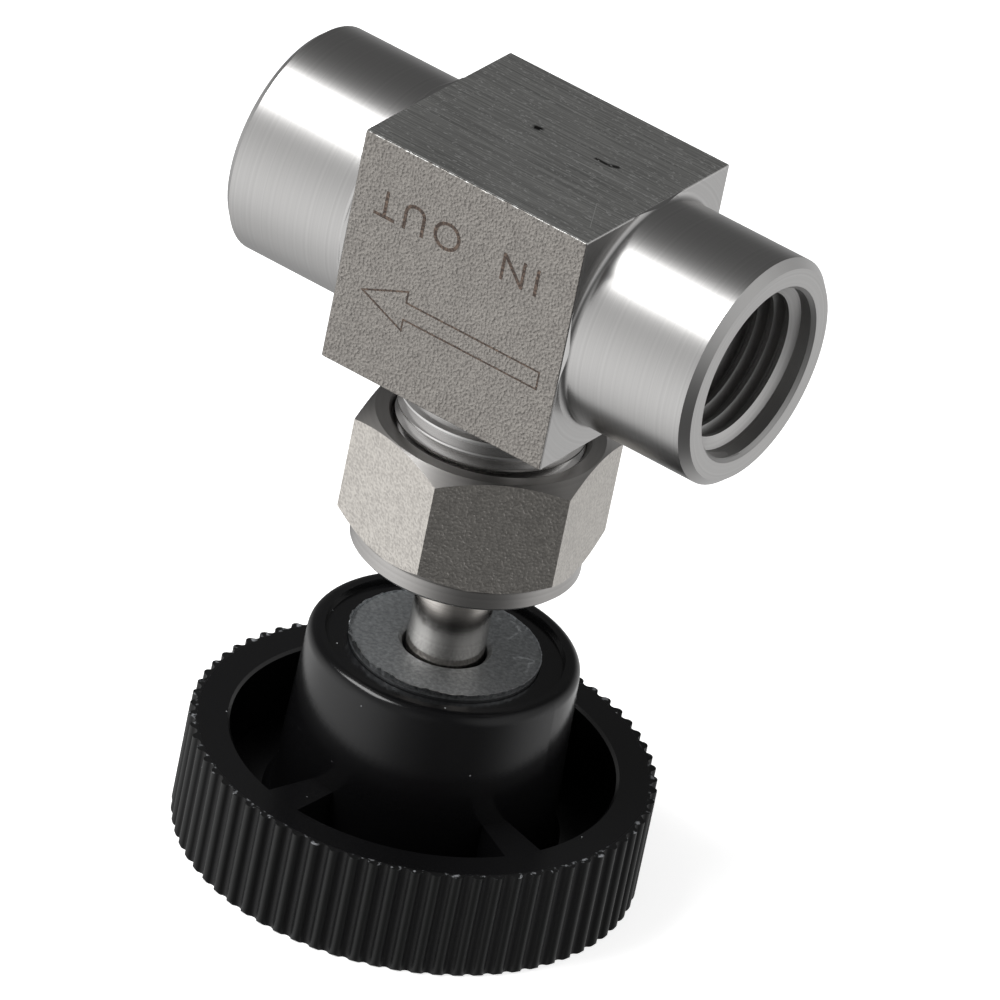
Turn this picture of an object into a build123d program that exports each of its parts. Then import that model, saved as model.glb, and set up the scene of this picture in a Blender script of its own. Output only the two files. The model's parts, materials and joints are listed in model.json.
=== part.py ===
from build123d import *
import math
import os

# Female-threaded needle valve, standing upside down on its handwheel.
# Millimetres. The origin is the centre of the handwheel's flat outer face,
# +Z runs along the stem towards the valve body, +X along the flow axis
# towards the inlet port. The valve is drawn fully open.

# ---- driving dimensions -------------------------------------------------

flow_z = 50.3               # height of the flow axis
body_half_length = 20.4     # port face to stem axis
boss_r = 8.8                # turned ends that hold the ports
boss_edge_chamfer = 0.6
boss_root_fillet = 0.5
boss_root_depth = 0.5       # how far the fillet's root reaches into the block
boss_root_inset = 0.02      # keeps it just inside the block's own faces
block_half_x = 9.7
block_half_y = 8.85
block_top = flow_z + 8.85
block_bottom = flow_z - 9.9
block_edge_r = 0.15

port_r = 6.58               # G 1/4 thread, major radius
port_mouth_chamfer = 0.3
port_mouth_r = 6.83
port_depth = 11.0
port_runout = 0.4           # cone between the thread and the tapping drill
port_drill_r = 5.7          # the tapping drill runs on past the thread
port_drill_depth = 12.2
port_drill_tip = 1.03       # flattened cone that the drill leaves

passage_r = 1.7
passage_offset = 3.6        # the two drilled passages lie either side of the flow axis
seat_z = 48.6
seat_r = 2.0
seat_face_cone = 0.4        # end of the chamber, falling towards the seat
orifice_r = 1.6
needle_half_angle = 20.0
chamber_r = 3.5

neck_r = 6.4                # root of the M14 x 1 thread that carries the packing nut
neck_thread_r = 7.0         # its crest
neck_end_z = 29.5
neck_chamfer = 0.5
stem_bore_r = 4.0           # M8 x 1 thread in the neck, major radius
stem_bore_top = 44.9
packing_bore_r = 5.0
packing_bore_top = 34.0

nut_flats = 17.0            # across the flats
nut_turn = 12.2             # degrees from +X to the normal of one flat
nut_bottom = 25.5
nut_top = 36.2
nut_collar_r = 8.45
nut_collar_height = 1.56
nut_collar_edge = 0.3
nut_floor = 1.6             # wall that presses on the gland follower
nut_top_face_r = 8.4
nut_top_slope = 28.8
nut_bottom_slope = 38.6
nut_lead = 0.35             # chamfer at the mouth of each of its bores
gland_flange_r = 6.2
gland_flange_height = 1.3
gland_flange_edge = 0.3
packing_washer_height = 0.5
packing_ring_bevel = 0.12

stem_r = 2.9
stem_thread_r = 3.95        # 0.05 running clearance in the neck's thread
stem_thread_low = 34.2
stem_thread_high = 40.5
stem_thread_bevel = 0.4
stem_square = 4.4
stem_square_low = 6.4
stem_shoulder_z = 14.2
stem_nose_r = 1.5
stem_nose_length = 2.7
stem_nose_edge = 0.3
ring_groove_low = 41.5
ring_groove_high = 42.1
ring_groove_r = 1.12

valve_lift = 4.0            # four turns of the 1 mm stem thread
tip_r = 2.8
tip_rear_z = 40.9
tip_edge = 0.2
tip_end_r = 0.3
seat_gap = 0.02
socket_r = 1.58
socket_floor_z = 43.25
ring_inner_r = 1.2
ring_outer_r = 1.9
ring_play = 0.05            # end play of the ring in the stem's groove
ring_slit = 0.5

running_gap = 0.08          # radial, round the turning stem
thread_gap = 0.05           # radial, where a plain cylinder stands in for a thread
packing_gap = 0.03
face_gap = 0.02             # between flat faces of pieces that move apart
lead_in = 0.3               # chamfer at the mouth of a bore that a piece slides into

wheel_r = 17.2              # over the ribs
wheel_groove_r = 16.75
rib_count = 70
rib_phase = 0.6             # degrees, first rib crest from +X
rib_share = 0.5             # of the pitch that is rib, the rest is groove
wheel_rim_top = 8.5
wheel_rim_chamfer = 0.2
wheel_edge_r = 0.35
recess_r = 14.2
recess_floor_r = 13.9
recess_floor_z = 3.0
hub_r = 10.0
hub_foot_r = 10.4
hub_foot_bevel = 0.6
hub_top = 17.5
hub_lip_r = 0.8
hub_step_r = 8.8
hub_step_depth = 0.45
hub_step_draft = 0.15
web_angles = [-100.0, -23.5, 80.0, 156.5]   # two opposite pairs, unevenly spaced
web_hub_width = 1.9         # the webs widen towards the rim
web_rim_width = 3.1
web_overlap = 0.6           # how far each end runs into the hub and the rim
web_top = 8.4

insert_r = 7.0
insert_low = 6.0
insert_top = 17.45
insert_groove_r = 6.4
insert_groove_z = [9.0, 13.0]
insert_groove_half = 0.7    # half its height
insert_mouth_r = 3.15
insert_square = 4.5

cap_r = 7.5
cap_pocket_r = 7.6
cap_pocket_depth = 1.6
cap_face_z = 0.3
cap_bevel = 0.3
cap_skirt_gap = 0.05
cap_skirt_wall = 0.55
cap_skirt_top = 3.0
screw_pocket_r = 5.2
screw_r = 2.0
screw_head_r = 3.5
screw_head_low = 2.0
screw_head_high = 4.2
screw_end_z = 12.2
screw_edge = 0.5
cross_length = 3.6          # cross recess in the screw's head
cross_width = 0.9
cross_depth = 1.1
spring_washer_r = 3.4
spring_washer_hole_r = 2.1
spring_washer_top = 5.2
washer_r = 4.5
washer_hole_r = 2.15

# ---- worked out from them -----------------------------------------------

needle_slope = math.tan(math.radians(needle_half_angle))
nut_corner_r = nut_flats / math.sqrt(3)
packing_ring_z = [30.4, 31.4, 32.4, 33.4]
ring_low = ring_groove_low + ring_play
ring_high = ring_groove_high - ring_play

BOTTOM = (Align.CENTER, Align.CENTER, Align.MIN)


def post(radius, z_low, z_high):
    """A round bar on the stem axis."""
    return Pos(0, 0, z_low) * Cylinder(radius, z_high - z_low, align=BOTTOM)


def tube(outer_r, inner_r, z_low, z_high):
    """A ring on the stem axis."""
    return post(outer_r, z_low, z_high) - post(inner_r, z_low - 1, z_high + 1)


def turned(outline):
    """A solid turned on the stem axis from (radius, height) points."""
    points = [(radius, 0, height) for radius, height in outline]
    return revolve(make_face(Polyline(*points, close=True)), Axis.Z)


def flow_bar(radius, x_low, x_high, z=flow_z):
    """A round bar parallel to the flow axis."""
    bar = Cylinder(radius, x_high - x_low, align=BOTTOM)
    return Pos(x_low, 0, z) * Rot(0, 90, 0) * bar


def flow_turned(outline):
    """A solid turned on the flow axis from (distance along X, radius) points."""
    points = [(along, 0, flow_z + radius) for along, radius in outline]
    axis = Axis((0, 0, flow_z), (1, 0, 0))
    return revolve(make_face(Polyline(*points, close=True)), axis)


def square_bar(width, z_low, z_high):
    """A square bar on the stem axis."""
    return Pos(0, 0, z_low) * Box(width, width, z_high - z_low, align=BOTTOM)


# ---- valve body ---------------------------------------------------------

def body_block():
    middle = (block_top + block_bottom) / 2
    block = Pos(0, 0, middle) * Box(2 * block_half_x, 2 * block_half_y, block_top - block_bottom)
    return fillet(block.edges(), block_edge_r)


def body_boss():
    """The turned end at +X, with the fillet that runs it into the block."""
    end = body_half_length
    boss = flow_turned([
        (block_half_x - 1, 0),
        (block_half_x - 1, boss_r),
        (end - boss_edge_chamfer, boss_r),
        (end, boss_r - boss_edge_chamfer),
        (end, 0),
    ])
    root = block_half_x + boss_root_fillet
    flare_r = boss_r + boss_root_fillet
    low = (block_half_x - boss_root_depth, 0, flow_z + flare_r)
    corner = (block_half_x, 0, flow_z + flare_r)
    foot = (root, 0, flow_z + boss_r)
    centre = Vector(root, 0, flow_z + flare_r)
    middle = centre + Vector(-1, 0, -1).normalized() * boss_root_fillet
    deep = block_half_x - boss_root_depth
    inner = [foot, (root, 0, flow_z + 1), (deep, 0, flow_z + 1), low, corner]
    outline = [ThreePointArc(corner, middle, foot), Polyline(*inner)]
    flare = revolve(make_face(outline), Axis((0, 0, flow_z), (1, 0, 0)))
    depth = 2 * (block_half_y - boss_root_inset)
    height = block_top - block_bottom - 2 * boss_root_inset
    side = Box(4 * block_half_x, depth, height)
    flare = flare & (Pos(0, 0, (block_top + block_bottom) / 2) * side)
    return boss + flare


def port():
    """What is cut for the port at +X: mouth, thread, drill and its cone."""
    end = body_half_length
    drill_end = end - port_drill_depth
    return flow_turned([
        (end + 1, 0),
        (end + 1, port_mouth_r),
        (end, port_mouth_r),
        (end - port_mouth_chamfer, port_r),
        (end - port_depth, port_r),
        (end - port_depth - port_runout, port_drill_r),
        (drill_end, port_drill_r),
        (drill_end - port_drill_tip, 0),
    ])


def body_neck():
    return turned([
        (0, block_bottom + 1),
        (neck_r, block_bottom + 1),
        (neck_r, neck_end_z + neck_chamfer),
        (neck_r - neck_chamfer, neck_end_z),
        (0, neck_end_z),
    ])


def stem_cavity():
    """Packing bore, stem thread, valve chamber, seat and orifice in one cut."""
    seat_end = seat_z + (seat_r - orifice_r) / needle_slope
    orifice_end = flow_z + passage_offset
    return turned([
        (0, neck_end_z - 1),
        (packing_bore_r + lead_in, neck_end_z - 1),
        (packing_bore_r + lead_in, neck_end_z),
        (packing_bore_r, neck_end_z + lead_in),
        (packing_bore_r, packing_bore_top),
        (stem_bore_r, packing_bore_top),
        (stem_bore_r, stem_bore_top),
        (chamber_r, stem_bore_top + (stem_bore_r - chamber_r)),
        (chamber_r, seat_z - seat_face_cone),
        (seat_r, seat_z),
        (orifice_r, seat_end),
        (orifice_r, orifice_end),
        (0, orifice_end),
    ])


def valve_body():
    boss = body_boss()
    hole = port()
    body = body_block() + boss + mirror(boss, Plane.YZ) + body_neck()
    body -= hole
    body -= mirror(hole, Plane.YZ)
    body -= stem_cavity()
    reach = body_half_length - port_drill_depth + 0.5
    body -= flow_bar(passage_r, 0, reach, flow_z + passage_offset)
    body -= flow_bar(passage_r, -reach, 0, flow_z - passage_offset)
    return body


# ---- packing and its nut ------------------------------------------------

def packing_nut():
    height = nut_top - nut_bottom
    outline = RegularPolygon(nut_corner_r, 6, rotation=30 + nut_turn)
    hexagon = Pos(0, 0, nut_bottom) * extrude(outline, height)
    top_slope = math.tan(math.radians(nut_top_slope))
    bottom_slope = math.tan(math.radians(nut_bottom_slope))
    outer = nut_corner_r + 1
    collar_top = nut_bottom + nut_collar_height
    skin = turned([
        (0, nut_bottom),
        (nut_collar_r - nut_collar_edge, nut_bottom),
        (nut_collar_r, nut_bottom + nut_collar_edge),
        (nut_collar_r, collar_top),
        (outer, collar_top + (outer - nut_collar_r) * bottom_slope),
        (outer, nut_top - (outer - nut_top_face_r) * top_slope),
        (nut_top_face_r, nut_top),
        (0, nut_top),
    ])
    floor_z = nut_bottom + nut_floor
    thread_r = neck_thread_r + thread_gap
    cavity = turned([
        (0, floor_z),
        (thread_r, floor_z),
        (thread_r, nut_top - nut_lead),
        (thread_r + nut_lead, nut_top),
        (thread_r + nut_lead, nut_top + 1),
        (0, nut_top + 1),
    ])
    stem_hole_r = stem_r + running_gap
    mouth = turned([
        (0, nut_bottom - 1),
        (stem_hole_r + nut_lead, nut_bottom - 1),
        (stem_hole_r + nut_lead, nut_bottom),
        (stem_hole_r, nut_bottom + nut_lead),
        (stem_hole_r, floor_z + 1),
        (0, floor_z + 1),
    ])
    return (hexagon & skin) - cavity - mouth


def gland_follower():
    inner = stem_r + running_gap
    outer = packing_bore_r - running_gap
    low = nut_bottom + nut_floor + face_gap
    flange_top = low + gland_flange_height
    high = packing_ring_z[0] - packing_washer_height - face_gap
    return turned([
        (inner, low),
        (gland_flange_r - gland_flange_edge, low),
        (gland_flange_r, low + gland_flange_edge),
        (gland_flange_r, flange_top),
        (outer, flange_top),
        (outer, high),
        (inner, high),
    ])


def packing_washer(z_low, z_high):
    return tube(packing_bore_r - packing_gap, stem_r + running_gap, z_low, z_high)


def packing_ring(z_low, z_high):
    """A PTFE ring with a small bevel on each outer edge."""
    inner = stem_r + packing_gap
    outer = packing_bore_r - packing_gap
    return turned([
        (inner, z_low),
        (outer - packing_ring_bevel, z_low),
        (outer, z_low + packing_ring_bevel),
        (outer, z_high - packing_ring_bevel),
        (outer - packing_ring_bevel, z_high),
        (inner, z_high),
    ])


# ---- needle and stem ----------------------------------------------------

def needle_tip():
    closed_base = seat_z - (tip_r - (seat_r - seat_gap)) / needle_slope
    base = closed_base - valve_lift
    end = base + (tip_r - tip_end_r) / needle_slope
    tip = turned([
        (0, tip_rear_z),
        (tip_r - tip_edge, tip_rear_z),
        (tip_r, tip_rear_z + tip_edge),
        (tip_r, base),
        (tip_end_r, end),
        (0, end + tip_end_r / 2),
    ])
    socket = post(socket_r, tip_rear_z - 1, socket_floor_z)
    ring_seat = post(ring_outer_r, ring_low, ring_high)
    return tip - socket - ring_seat


def tip_retaining_ring():
    """A split ring that holds the needle tip on the stem's nose."""
    ring = tube(ring_outer_r, ring_inner_r, ring_low, ring_high)
    slit = Box(3 * ring_outer_r, ring_slit, 2, align=(Align.MIN, Align.CENTER, Align.CENTER))
    return ring - Pos(0, 0, ring_groove_low) * slit


def stem():
    nose_end = stem_thread_high + stem_nose_length
    bevel = stem_thread_bevel
    shaft = turned([
        (0, stem_shoulder_z),
        (stem_r, stem_shoulder_z),
        (stem_r, stem_thread_low),
        (stem_thread_r - bevel, stem_thread_low),
        (stem_thread_r, stem_thread_low + bevel),
        (stem_thread_r, stem_thread_high - bevel),
        (stem_thread_r - bevel, stem_thread_high),
        (stem_nose_r, stem_thread_high),
        (stem_nose_r, ring_groove_low),
        (ring_groove_r, ring_groove_low),
        (ring_groove_r, ring_groove_high),
        (stem_nose_r, ring_groove_high),
        (stem_nose_r, nose_end - stem_nose_edge),
        (stem_nose_r - stem_nose_edge, nose_end),
        (0, nose_end),
    ])
    square = square_bar(stem_square, stem_square_low, stem_shoulder_z + 1)
    hole = post(screw_r + thread_gap, stem_square_low - 1, screw_end_z + 1)
    return shaft + square - hole


# ---- handwheel ----------------------------------------------------------

def ribbed_prism():
    """The wheel's outline of rounded ribs, each followed by a hollow groove."""
    pitch = 2 * math.pi / rib_count
    half_rib = rib_share * pitch / 2
    flank_r = (wheel_r + wheel_groove_r) / 2
    arcs = []
    for rib in range(rib_count):
        crest = math.radians(rib_phase) + rib * pitch
        left, right = crest - half_rib, crest + half_rib
        groove, following = crest + pitch / 2, crest + pitch - half_rib
        for start, middle, end, middle_r in (
            (left, crest, right, wheel_r),
            (right, groove, following, wheel_groove_r),
        ):
            points = [(start, flank_r), (middle, middle_r), (end, flank_r)]
            arcs.append(ThreePointArc(*[(r * math.cos(a), r * math.sin(a)) for a, r in points]))
    return extrude(make_face(Wire(arcs)), hub_top + 1)


def wheel_turning():
    """The plain turned shape of the moulding: rim, recess, hub and its lip."""
    step_z = hub_top - hub_step_depth
    lower = [
        (0, 0, 0),
        (wheel_r - wheel_edge_r, 0, 0),
    ]
    round_mid = wheel_edge_r * (1 - math.sqrt(0.5))
    outer_edge = ThreePointArc(
        lower[1],
        (wheel_r - round_mid, 0, round_mid),
        (wheel_r, 0, wheel_edge_r),
    )
    rim = [
        (wheel_r, 0, wheel_edge_r),
        (wheel_r, 0, wheel_rim_top),
        (recess_r + wheel_rim_chamfer, 0, wheel_rim_top),
        (recess_r, 0, wheel_rim_top - wheel_rim_chamfer),
        (recess_floor_r, 0, recess_floor_z),
        (hub_foot_r + hub_foot_bevel, 0, recess_floor_z),
        (hub_foot_r, 0, recess_floor_z + hub_foot_bevel),
        (hub_r, 0, hub_top - hub_lip_r),
    ]
    lip_mid = hub_lip_r * (1 - math.sqrt(0.5))
    lip = ThreePointArc(
        rim[-1],
        (hub_r - lip_mid, 0, hub_top - lip_mid),
        (hub_r - hub_lip_r, 0, hub_top),
    )
    crown = [
        (hub_r - hub_lip_r, 0, hub_top),
        (hub_step_r, 0, hub_top),
        (hub_step_r - hub_step_draft, 0, step_z),
        (0, 0, step_z),
        (0, 0, 0),
    ]
    outline = [Polyline(*lower), outer_edge, Polyline(*rim), lip, Polyline(*crown)]
    return revolve(make_face(outline), Axis.Z)


def web():
    """One web at +X, wider where it meets the rim."""
    inner, outer = hub_r - web_overlap, recess_r + web_overlap
    half_in, half_out = web_hub_width / 2, web_rim_width / 2
    corners = [(inner, -half_in), (outer, -half_out), (outer, half_out), (inner, half_in)]
    low = recess_floor_z - web_overlap
    return Pos(0, 0, low) * extrude(make_face(Polyline(*corners, close=True)), web_top - low)


def insert_skin():
    """Outside of the insert, with the two grooves that key it in the moulding."""
    outline = [(0, insert_low), (insert_r, insert_low)]
    for groove_z in insert_groove_z:
        low, high = groove_z - insert_groove_half, groove_z + insert_groove_half
        outline += [(insert_r, low), (insert_groove_r, low), (insert_groove_r, high), (insert_r, high)]
    outline += [(insert_r, insert_top), (0, insert_top)]
    return turned(outline)


def handwheel():
    wheel = wheel_turning()
    for angle in web_angles:
        wheel += Rot(0, 0, angle) * web()
    wheel = wheel & ribbed_prism()
    wheel -= post(cap_pocket_r, -1, cap_pocket_depth)
    wheel -= post(screw_pocket_r, 0, insert_low)
    return wheel - insert_skin()


def handwheel_insert():
    mouth = turned([
        (0, stem_shoulder_z),
        (insert_mouth_r, stem_shoulder_z),
        (insert_mouth_r, insert_top - lead_in),
        (insert_mouth_r + lead_in, insert_top),
        (insert_mouth_r + lead_in, insert_top + 1),
        (0, insert_top + 1),
    ])
    return insert_skin() - mouth - square_bar(insert_square, insert_low - 1, stem_shoulder_z + 1)


def centre_cap():
    """Snap-in cap over the screw: a bevelled disc with a short skirt."""
    skirt_outer = screw_pocket_r - cap_skirt_gap
    skirt_inner = skirt_outer - cap_skirt_wall
    return turned([
        (0, cap_face_z),
        (cap_r - cap_bevel, cap_face_z),
        (cap_r, cap_face_z + cap_bevel),
        (cap_r, cap_pocket_depth),
        (skirt_outer, cap_pocket_depth),
        (skirt_outer, cap_skirt_top),
        (skirt_inner, cap_skirt_top),
        (skirt_inner, cap_pocket_depth),
        (0, cap_pocket_depth),
    ])


def fixing_screw():
    screw = turned([
        (0, screw_head_low),
        (screw_head_r - screw_edge, screw_head_low),
        (screw_head_r, screw_head_low + screw_edge),
        (screw_head_r, screw_head_high),
        (screw_r, screw_head_high),
        (screw_r, screw_end_z - screw_edge),
        (screw_r - screw_edge, screw_end_z),
        (0, screw_end_z),
    ])
    for angle in (0, 90):
        slot = Box(cross_length, cross_width, 2 * cross_depth)
        screw -= Pos(0, 0, screw_head_low) * Rot(0, 0, angle) * slot
    return screw


def spring_washer():
    ring = tube(spring_washer_r, spring_washer_hole_r, screw_head_high, spring_washer_top)
    slit = Box(2 * spring_washer_r, ring_slit, 4, align=(Align.MIN, Align.CENTER, Align.CENTER))
    return ring - Pos(0, 0, screw_head_high) * slit


def fixing_washer():
    return tube(washer_r, washer_hole_r, spring_washer_top, insert_low)


# ---- one file for each piece --------------------------------------------

pieces = {
    "valve_body": valve_body(),
    "packing_nut": packing_nut(),
    "gland_follower": gland_follower(),
    "outer_packing_washer": packing_washer(packing_ring_z[0] - packing_washer_height, packing_ring_z[0]),
    "outer_packing_ring": packing_ring(packing_ring_z[0], packing_ring_z[1]),
    "middle_packing_ring": packing_ring(packing_ring_z[1], packing_ring_z[2]),
    "inner_packing_ring": packing_ring(packing_ring_z[2], packing_ring_z[3]),
    "inner_packing_washer": packing_washer(packing_ring_z[3], packing_bore_top),
    "needle_tip": needle_tip(),
    "tip_retaining_ring": tip_retaining_ring(),
    "stem": stem(),
    "handwheel": handwheel(),
    "handwheel_insert": handwheel_insert(),
    "fixing_washer": fixing_washer(),
    "spring_washer": spring_washer(),
    "fixing_screw": fixing_screw(),
    "centre_cap": centre_cap(),
}

os.makedirs("parts", exist_ok=True)
for name, piece in pieces.items():
    export_step(piece, f"parts/{name}.step")
    print(name, round(piece.volume, 1), "mm3")
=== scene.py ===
# %% [markdown]
# # A small stainless needle valve
# The valve's working parts were designed in a CAD program. They come in as a fixed frame of
# seventeen nodes, in metres, standing upside down on the black handwheel. This lesson adds what
# the CAD leaves plain: the cut threads, the etched marks, the ragged flash of the casting in the
# wheel, and a surface on every piece that shows how that piece was made.

# %% Load the valve
import json
import math
import random

import bpy
from mathutils import Matrix, Vector

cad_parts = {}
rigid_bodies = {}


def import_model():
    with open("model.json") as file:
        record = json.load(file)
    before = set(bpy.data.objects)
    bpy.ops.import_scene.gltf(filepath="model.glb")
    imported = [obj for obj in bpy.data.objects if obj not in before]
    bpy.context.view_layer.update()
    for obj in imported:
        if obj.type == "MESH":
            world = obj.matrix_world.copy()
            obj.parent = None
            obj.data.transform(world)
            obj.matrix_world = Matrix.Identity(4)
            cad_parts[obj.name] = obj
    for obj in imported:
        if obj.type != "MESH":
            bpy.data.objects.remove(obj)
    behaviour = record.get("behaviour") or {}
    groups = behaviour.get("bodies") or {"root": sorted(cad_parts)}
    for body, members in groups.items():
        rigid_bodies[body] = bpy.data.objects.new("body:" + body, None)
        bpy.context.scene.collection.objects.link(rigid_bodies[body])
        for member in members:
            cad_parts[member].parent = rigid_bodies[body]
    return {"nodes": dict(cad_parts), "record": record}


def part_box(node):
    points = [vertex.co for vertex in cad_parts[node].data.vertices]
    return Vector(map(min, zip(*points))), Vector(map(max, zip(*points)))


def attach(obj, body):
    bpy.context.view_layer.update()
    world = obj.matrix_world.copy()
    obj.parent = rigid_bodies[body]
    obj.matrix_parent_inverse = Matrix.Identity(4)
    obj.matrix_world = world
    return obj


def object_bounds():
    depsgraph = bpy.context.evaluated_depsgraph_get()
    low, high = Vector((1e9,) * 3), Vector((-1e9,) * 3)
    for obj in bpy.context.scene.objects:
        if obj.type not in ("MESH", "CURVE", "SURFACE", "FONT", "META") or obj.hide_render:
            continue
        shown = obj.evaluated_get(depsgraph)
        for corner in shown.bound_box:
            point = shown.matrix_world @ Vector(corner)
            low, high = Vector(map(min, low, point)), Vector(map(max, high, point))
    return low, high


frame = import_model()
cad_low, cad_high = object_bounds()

nodes = frame["nodes"]
MM = 0.001
print("the valve is", [round(1000 * side, 2) for side in cad_high - cad_low], "mm")

# %% [markdown]
# ## Where things are
# Nothing is placed by eye. The port mounts in the record give the flow axis and the size of the
# port thread, and the boxes of the nodes give the outer faces. Three faces lie inside those boxes,
# so their places are written down as the CAD has them. The names below are used all through.

# %% Measure the frame
mounts = {mount["name"]: mount for mount in frame["record"]["mounts"]}
inlet = mounts["inlet_port"]
FLOW_Z = inlet["pos_m"][2]
PORT_R = inlet["dims"]["r_mm"] * MM
THREAD_LENGTH = inlet["dims"]["length_mm"] * MM

body_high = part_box("valve_body")[1]
nut_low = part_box("packing_nut")[0]
insert_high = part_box("handwheel_insert")[1]
wheel_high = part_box("handwheel")[1]
BLOCK_FACE = 8.85             # mm from the flow axis to the block's front, back and top
BLOCK_SIDE = 9.7              # mm from its middle to the faces that the port bosses stand on
FRONT_Y = -BLOCK_FACE * MM    # the face that carries the marks
BLOCK_LOW = FLOW_Z - 9.9 * MM # the block's face towards the nut
NECK_R = 6.4 * MM             # the neck at the root of its thread
print("flow axis at", round(FLOW_Z / MM, 2), "mm, port thread radius", round(PORT_R / MM, 2), "mm")

# %% [markdown]
# ## One way to model
# Each piece starts as a primitive at its real size, is shaped in edit mode, and ends at the origin
# with its place in its mesh, as the CAD nodes do. An operator works on everything selected, so the
# first helper clears the selection, and the last one fixes a piece's place and shading.

# %% Helpers for modelling
def deselect():
    """Leaves edit mode, and selects nothing."""
    if bpy.context.object and bpy.context.object.mode != "OBJECT":
        bpy.ops.object.mode_set(mode="OBJECT")
    bpy.ops.object.select_all(action="DESELECT")


def choose(piece):
    """Makes one piece the selected and active one."""
    deselect()
    piece.select_set(True)
    bpy.context.view_layer.objects.active = piece


def settle(piece, name, smooth_angle=35):
    """Applies the piece's place, names it and shades its gentle edges smooth."""
    choose(piece)
    bpy.ops.object.transform_apply(location=True, rotation=True, scale=True)
    bpy.ops.object.shade_smooth_by_angle(angle=math.radians(smooth_angle))
    piece.name = piece.data.name = name
    print(name, "has", len(piece.data.polygons), "faces")
    return piece


def copy_of(piece, name):
    """A second piece with a mesh of its own."""
    twin = piece.copy()
    twin.data = piece.data.copy()
    twin.name = twin.data.name = name
    bpy.context.scene.collection.objects.link(twin)
    return twin


def modify(piece, kind, **settings):
    """Adds one modifier and applies it."""
    choose(piece)
    made = piece.modifiers.new(kind, kind)
    for setting, value in settings.items():
        setattr(made, setting, value)
    bpy.ops.object.modifier_apply(modifier=made.name)

# %% [markdown]
# ## Screw threads
# A thread is one tooth carried round and along its axis. The tooth starts as a flat square, its
# corners are moved to a root and a crest, and the Screw modifier winds it: the pitch is the
# modifier's offset for one turn. Real threads look alive because each flank catches the light, so
# they are modelled as geometry and not left to a bump. Over its first and last half turn the ridge
# grows from nothing and sinks again, as it does where a tap or a die runs in and out.

# %% A thread's tooth, wound into a ridge
STEPS = 96                    # sides of one turn
CORNERS = 4                   # corners of one tooth
LEAST_GROWTH = 0.02           # of the tooth's height, so that the ends of a ridge keep their faces


def wound_ridge(name, root_r, crest_r, pitch, turns, root_share, crest_share, start):
    """A right-handed ridge round Z. It stands on a cylinder of radius root_r, from height start."""
    deselect()
    bpy.ops.mesh.primitive_plane_add(size=1)
    tooth = bpy.context.object
    corners = [
        (root_r, -root_share / 2), (crest_r, -crest_share / 2),
        (crest_r, crest_share / 2), (root_r, root_share / 2),
    ]
    bpy.ops.object.mode_set(mode="EDIT")
    bpy.ops.mesh.select_all(action="SELECT")
    bpy.ops.mesh.delete(type="ONLY_FACE")
    bpy.ops.object.mode_set(mode="OBJECT")
    around = sorted(tooth.data.vertices, key=lambda v: math.atan2(v.co.y, v.co.x))
    for vertex, (radius, share) in zip(around, corners):
        vertex.co = (radius, 0, start + share * pitch)
    modify(tooth, "SCREW", axis="Z", angle=2 * math.pi, screw_offset=pitch, iterations=turns,
           steps=STEPS, render_steps=STEPS, use_merge_vertices=False)
    last = len(tooth.data.vertices) // CORNERS - 1
    for index, vertex in enumerate(tooth.data.vertices):
        step = index // CORNERS
        grow = max(LEAST_GROWTH, min(1, 2 * step / STEPS, 2 * (last - step) / STEPS))
        out = vertex.co.xy.length
        vertex.co.xy *= (root_r + (out - root_r) * grow) / out
    choose(tooth)
    bpy.ops.object.mode_set(mode="EDIT")
    bpy.ops.mesh.select_mode(type="EDGE")
    bpy.ops.mesh.select_all(action="DESELECT")
    bpy.ops.mesh.select_non_manifold()
    bpy.ops.mesh.edge_face_add()
    bpy.ops.mesh.select_all(action="SELECT")
    bpy.ops.mesh.normals_make_consistent(inside=False)
    bpy.ops.object.mode_set(mode="OBJECT")
    return settle(tooth, name, 25)

# %% [markdown]
# The packing nut runs on an M14 x 1 thread, cut on the neck with a 60 degree tool. Only three or
# four of its crests show, in the gap between the nut and the block.

# %% Thread on the neck
BITE = 0.03 * MM              # how far a ridge is sunk into the steel that it stands on
NECK_PITCH = 1.0 * MM
NECK_MAJOR_R = 6.98 * MM
NECK_END_GAP = 0.3 * MM       # bare neck between the thread and the block
neck_start = 30.6 * MM
neck_turns = int((BLOCK_LOW - NECK_END_GAP - neck_start) / NECK_PITCH)
neck_thread = wound_ridge("neck_thread", NECK_R - BITE, NECK_MAJOR_R, NECK_PITCH, neck_turns,
                          root_share=0.86, crest_share=0.16, start=neck_start)

# %% [markdown]
# The ports have the G 1/4 pipe thread: 19 to the inch, so 1.337 mm apart, with 55 degree flanks.
# The plain bore is at the major radius, so the ridge points inwards. It is wound round Z first,
# laid down along the flow axis, and the other port's thread is the same one turned half round. It
# ends a little inside the mouth, so that nothing stands out past the port's face.

# %% Threads in the ports
PORT_PITCH = 25.4 / 19 * MM
PORT_MINOR_R = 5.74 * MM
PORT_ROOT_SHARE = 0.88        # of the pitch, that the foot of the ridge covers
MOUTH_GAP = 0.2 * MM
port_turns = int(THREAD_LENGTH / PORT_PITCH - PORT_ROOT_SHARE)
thread_middle = body_high.x - MOUTH_GAP - (port_turns + PORT_ROOT_SHARE) * PORT_PITCH / 2
inlet_thread = wound_ridge("inlet_thread", PORT_R + BITE, PORT_MINOR_R, PORT_PITCH, port_turns,
                           PORT_ROOT_SHARE, crest_share=0.2, start=-port_turns * PORT_PITCH / 2)
outlet_thread = copy_of(inlet_thread, "outlet_thread")
for thread, side in ((inlet_thread, 1), (outlet_thread, -1)):
    choose(thread)
    thread.rotation_euler = (0, side * math.pi / 2, 0)
    thread.location = (side * thread_middle, 0, FLOW_Z)
    settle(thread, thread.name, 25)

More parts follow.
